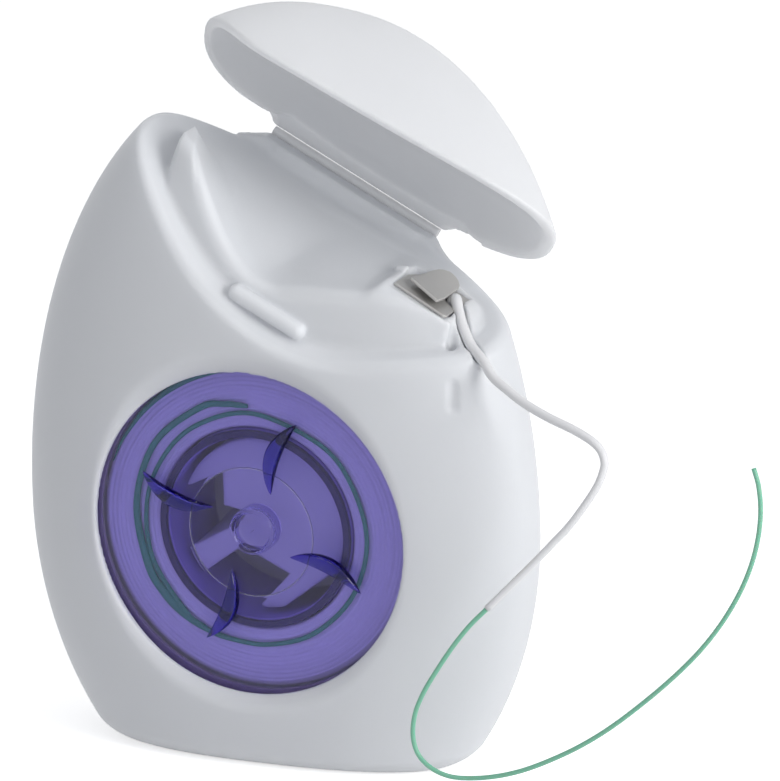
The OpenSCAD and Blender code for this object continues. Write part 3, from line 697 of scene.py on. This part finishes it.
def winding():
    """The wound floss: each turn a small round bump on the winding's face and outside."""
    rng = np.random.default_rng(7)
    pitch, bumps = 0.42, 6
    face_start, side_start = WINDING_INNER + 0.1, WINDING_FRONT + 0.3
    profile = [(WINDING_INNER, WINDING_REAR), (WINDING_INNER, side_start)]
    turns = int((WINDING_R - 10.2) / pitch)
    for i in range(turns):
        for k in range(bumps):
            depth = WINDING_FRONT + 0.12 - 0.07 * math.sin(math.pi * k / bumps)
            profile.append((face_start + pitch * (i + k / bumps), depth))
    rows = int((WINDING_REAR - WINDING_FRONT - 0.4) / pitch)
    for i in range(rows):
        for k in range(bumps):
            r = WINDING_R - 0.12 + 0.1 * math.sin(math.pi * k / bumps)
            profile.append((r, side_start + pitch * (i + k / bumps)))
    phases = rng.uniform(0, 2 * math.pi, (len(profile) // bumps + 2, 3))

    def wobble(a, j):
        p = phases[j // bumps]
        lift = 0.05 * math.sin(a + p[1]) * (0.5 + 0.5 * math.sin(3 * a + p[2]))
        return 0.02 * math.sin(2 * a + p[0]), lift
    return revolve("wound_floss", profile, floss, 192, wobble)


def tube(name, path, radius, look, sides=12, flat=1.0):
    """Round or flattened strand along a path, radius a number or a list."""
    path = np.asarray(path, float)
    n = len(path)
    radii = np.full(n, radius) if np.isscalar(radius) else np.asarray(radius)
    tangent = np.gradient(path, axis=0)
    tangent /= np.linalg.norm(tangent, axis=1)[:, None]
    side = np.cross(tangent[0], (0, 1, 0))
    side /= np.linalg.norm(side)
    points, faces = [], []
    for i in range(n):
        side = side - tangent[i] * (side @ tangent[i])
        side /= np.linalg.norm(side)
        over = np.cross(side, tangent[i])
        for k in range(sides):
            a = 2 * math.pi * k / sides
            p = path[i] + radii[i] * (math.cos(a) * side + flat * math.sin(a) * over)
            points.append(tuple(p * MM))
    for i in range(n - 1):
        for k in range(sides):
            m = (k + 1) % sides
            faces.append((i * sides + k, i * sides + m, (i + 1) * sides + m, (i + 1) * sides + k))
    faces.append(tuple(reversed(range(sides))))
    faces.append(tuple((n - 1) * sides + k for k in range(sides)))
    return new_object(name, points, faces, look)


def curve_through(points, steps):
    """Smooth path through given points."""
    p = np.asarray(points, float)
    p = np.vstack((2 * p[0] - p[1], p, 2 * p[-1] - p[-2]))
    out = []
    for i in range(1, len(p) - 2):
        for s in range(steps):
            t = s / steps
            out.append(0.5 * (2 * p[i] + (p[i + 1] - p[i - 1]) * t
                              + (2 * p[i - 1] - 5 * p[i] + 4 * p[i + 1] - p[i + 2]) * t * t
                              + (3 * p[i] - p[i - 1] - 3 * p[i + 1] + p[i + 2]) * t ** 3))
    out.append(p[-2])
    return np.array(out)


# The free end of the floss and the green line that hangs from it
FLOSS_PATH = curve_through(FLOSS_POINTS, 1)
floss_line = curve_through(FLOSS_POINTS, 6)
share = np.linspace(0, 1, len(floss_line))
spread = np.interp(share, (0, 0.05, 0.12, 0.4, 1), (0.44, 0.5, 0.56, 0.46, 0.33))
loose_floss = tube("loose_floss", floss_line, spread, floss, 16)
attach(loose_floss, "case")
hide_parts("floss_strand")

threader_line = curve_through(THREADER_POINTS, 6)
loose_threader = tube("loose_threader", threader_line, 0.23, green, 14)
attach(loose_threader, "case")
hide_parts("threader_strand")

# The mouldings
case_mesh = moulded_case()
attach(case_mesh, "case")
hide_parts("front_shell")
lid_mesh = moulded_lid()
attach(lid_mesh, "lid")
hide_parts("flip_lid")
cover_mesh = back_cover()
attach(cover_mesh, "case")
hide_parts("rear_cover")

# The spool and the floss wound on it
bobbin_meshes, disc_mesh = spool()
for obj in bobbin_meshes + (disc_mesh,):
    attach(obj, "spool")
    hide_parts("spool_back_flange" if obj is disc_mesh else "spool_bobbin")
for k in range(4):
    blade = fin("finger_fin_%d" % (k + 1), math.radians(61.5 + 90 * k))
    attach(blade, "spool")
wound = winding()
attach(wound, "spool")
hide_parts("floss_core", "floss_outer_turns")

# The green line's turns on the winding's face: angle in degrees, distance from the axis, half width
TURNS = [
    (92, 12.2, 0.2), (97, 12.3, 0.3), (103, 12.5, 0.3), (115, 12.8, 0.32), (143, 12.8, 0.32),
    (173, 12.5, 0.36), (202, 12.35, 0.44), (218, 12.3, 0.48), (230, 12.2, 0.42), (243, 12.0, 0.3),
    (256, 11.75, 0.26), (275, 11.6, 0.24), (300, 11.5, 0.24), (330, 11.45, 0.24), (360, 11.5, 0.24),
    (390, 11.4, 0.24), (414, 11.35, 0.24), (450, 11.5, 0.24), (480, 11.4, 0.24), (505, 11.35, 0.22),
    (531, 11.45, 0.22), (560, 11.65, 0.26), (590, 11.9, 0.3), (602, 11.95, 0.28)]
OUTER_TURN = [
    (96, 15.75, 0.05), (104, 15.72, 0.22), (118, 15.66, 0.3), (134, 15.62, 0.26), (150, 15.66, 0.16),
    (160, 15.7, 0.05)]


def spiral(name, turns, y):
    """A flattened green line about the axis, at one depth."""
    points = [(WINDOW_X + r * math.cos(math.radians(a)), y, WINDOW_Z + r * math.sin(math.radians(a)))
              for a, r, w in turns]
    line = curve_through(points, 8)
    places = np.linspace(0, len(turns) - 1, len(line))
    halves = np.interp(places, range(len(turns)), [w for a, r, w in turns])
    return tube(name, line, halves, wound_green, 10, 0.6)


green_turns = [spiral("green_turns", TURNS, -5.8), spiral("green_outer_turn", OUTER_TURN, -5.7)]
for turn in green_turns:
    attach(turn, "spool")
    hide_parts("threader_turns")

# The strand inside the case, the hinge's web and the cutter
lead_line = curve_through(LEAD_POINTS, 4)
lead = tube("floss_lead_strand", lead_line, 0.4, floss, 12)
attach(lead, "case")
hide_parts("floss_lead")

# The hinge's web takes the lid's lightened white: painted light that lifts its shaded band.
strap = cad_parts["hinge_strap"]
strap.data.materials.clear()
strap.data.materials.append(lid_lightened_white)
cutter_mesh = cutter()
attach(cutter_mesh, "case")
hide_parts("cutter_plate")

# The fine line where the hub's front steps back to the web
LINE_R = 0.05
step_turns = [math.radians(a) for a in range(0, 360, 60)]
step_ring = [(STEP_R + LINE_R * math.cos(a), SPOOL_FRONT + LINE_R * (1 + math.sin(a))) for a in step_turns]
step_line = revolve("web_step", step_ring, purple)
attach(step_line, "spool")


def rays_to_white(tree):
    """One for camera, glossy and transmission rays, zero for the light that falls on the object."""
    ray = node(tree, "ShaderNodeLightPath")
    seen = ray.outputs["Is Camera Ray"]
    for other in ("Is Glossy Ray", "Is Transmission Ray"):
        larger = node(tree, "ShaderNodeMath", operation="MAXIMUM")
        tree.links.new(seen, larger.inputs[0])
        tree.links.new(ray.outputs[other], larger.inputs[1])
        seen = larger.outputs[0]
    return seen


# Light, floor and background
scene = bpy.context.scene
scene.view_settings.view_transform = "Standard"
world = bpy.data.worlds.new("world")
scene.world = world
world.use_nodes = True
tree = world.node_tree
ground = tree.nodes["Background"]
ground.inputs["Color"].default_value = (0.93, 0.95, 1.0, 1)
ground.inputs["Strength"].default_value = 0.375
plain = node(tree, "ShaderNodeBackground", Color=(1, 1, 1, 1), Strength=1.0)
mix = node(tree, "ShaderNodeMixShader")
tree.links.new(rays_to_white(tree), mix.inputs["Fac"])
tree.links.new(ground.outputs["Background"], mix.inputs[1])
tree.links.new(plain.outputs["Background"], mix.inputs[2])
tree.links.new(mix.outputs["Shader"], tree.nodes["World Output"].inputs["Surface"])

# The floor is lifted to white where it is seen, and keeps the object's shadow
FLOOR_HALF, FLOOR_LIFT = 3, 0.6
floor_look = material("floor_white", (0.9, 0.9, 0.9), 0.9, Specular_IOR_Level=0.0)
tree = floor_look.node_tree
lift = node(tree, "ShaderNodeEmission", Color=(1, 1, 1, 1), Strength=1.0)
share_out = node(tree, "ShaderNodeMath", operation="MULTIPLY")
share_out.inputs[1].default_value = FLOOR_LIFT
total = node(tree, "ShaderNodeAddShader")
tree.links.new(rays_to_white(tree), share_out.inputs[0])
tree.links.new(share_out.outputs[0], lift.inputs["Strength"])
tree.links.new(tree.nodes["Principled BSDF"].outputs[0], total.inputs[0])
tree.links.new(lift.outputs[0], total.inputs[1])
tree.links.new(total.outputs[0], tree.nodes["Material Output"].inputs["Surface"])
corners = [(-FLOOR_HALF, -FLOOR_HALF, 0), (FLOOR_HALF, -FLOOR_HALF, 0),
           (FLOOR_HALF, FLOOR_HALF, 0), (-FLOOR_HALF, FLOOR_HALF, 0)]
floor = new_object("floor", corners, [(0, 1, 2, 3)], floor_look, False)


def lamp(name, place, aim, size, power):
    """A square lamp that shines from a place towards another."""
    data = bpy.data.lights.new(name, "AREA")
    data.size = size
    data.energy = power
    obj = bpy.data.objects.new(name, data)
    scene.collection.objects.link(obj)
    obj.location = place
    obj.rotation_euler = (Vector(aim) - Vector(place)).to_track_quat("-Z", "Y").to_euler()


lamp("key", (0.55, -0.15, 0.22), (0, 0, 0.035), 0.3, 2.24)
lamp("top", (0.0, -0.05, 0.5), (0, 0, 0.035), 0.3, 0.38)
lamp("fill", (-0.3, -0.6, 0.2), (0, 0, 0.03), 0.4, 0.25)
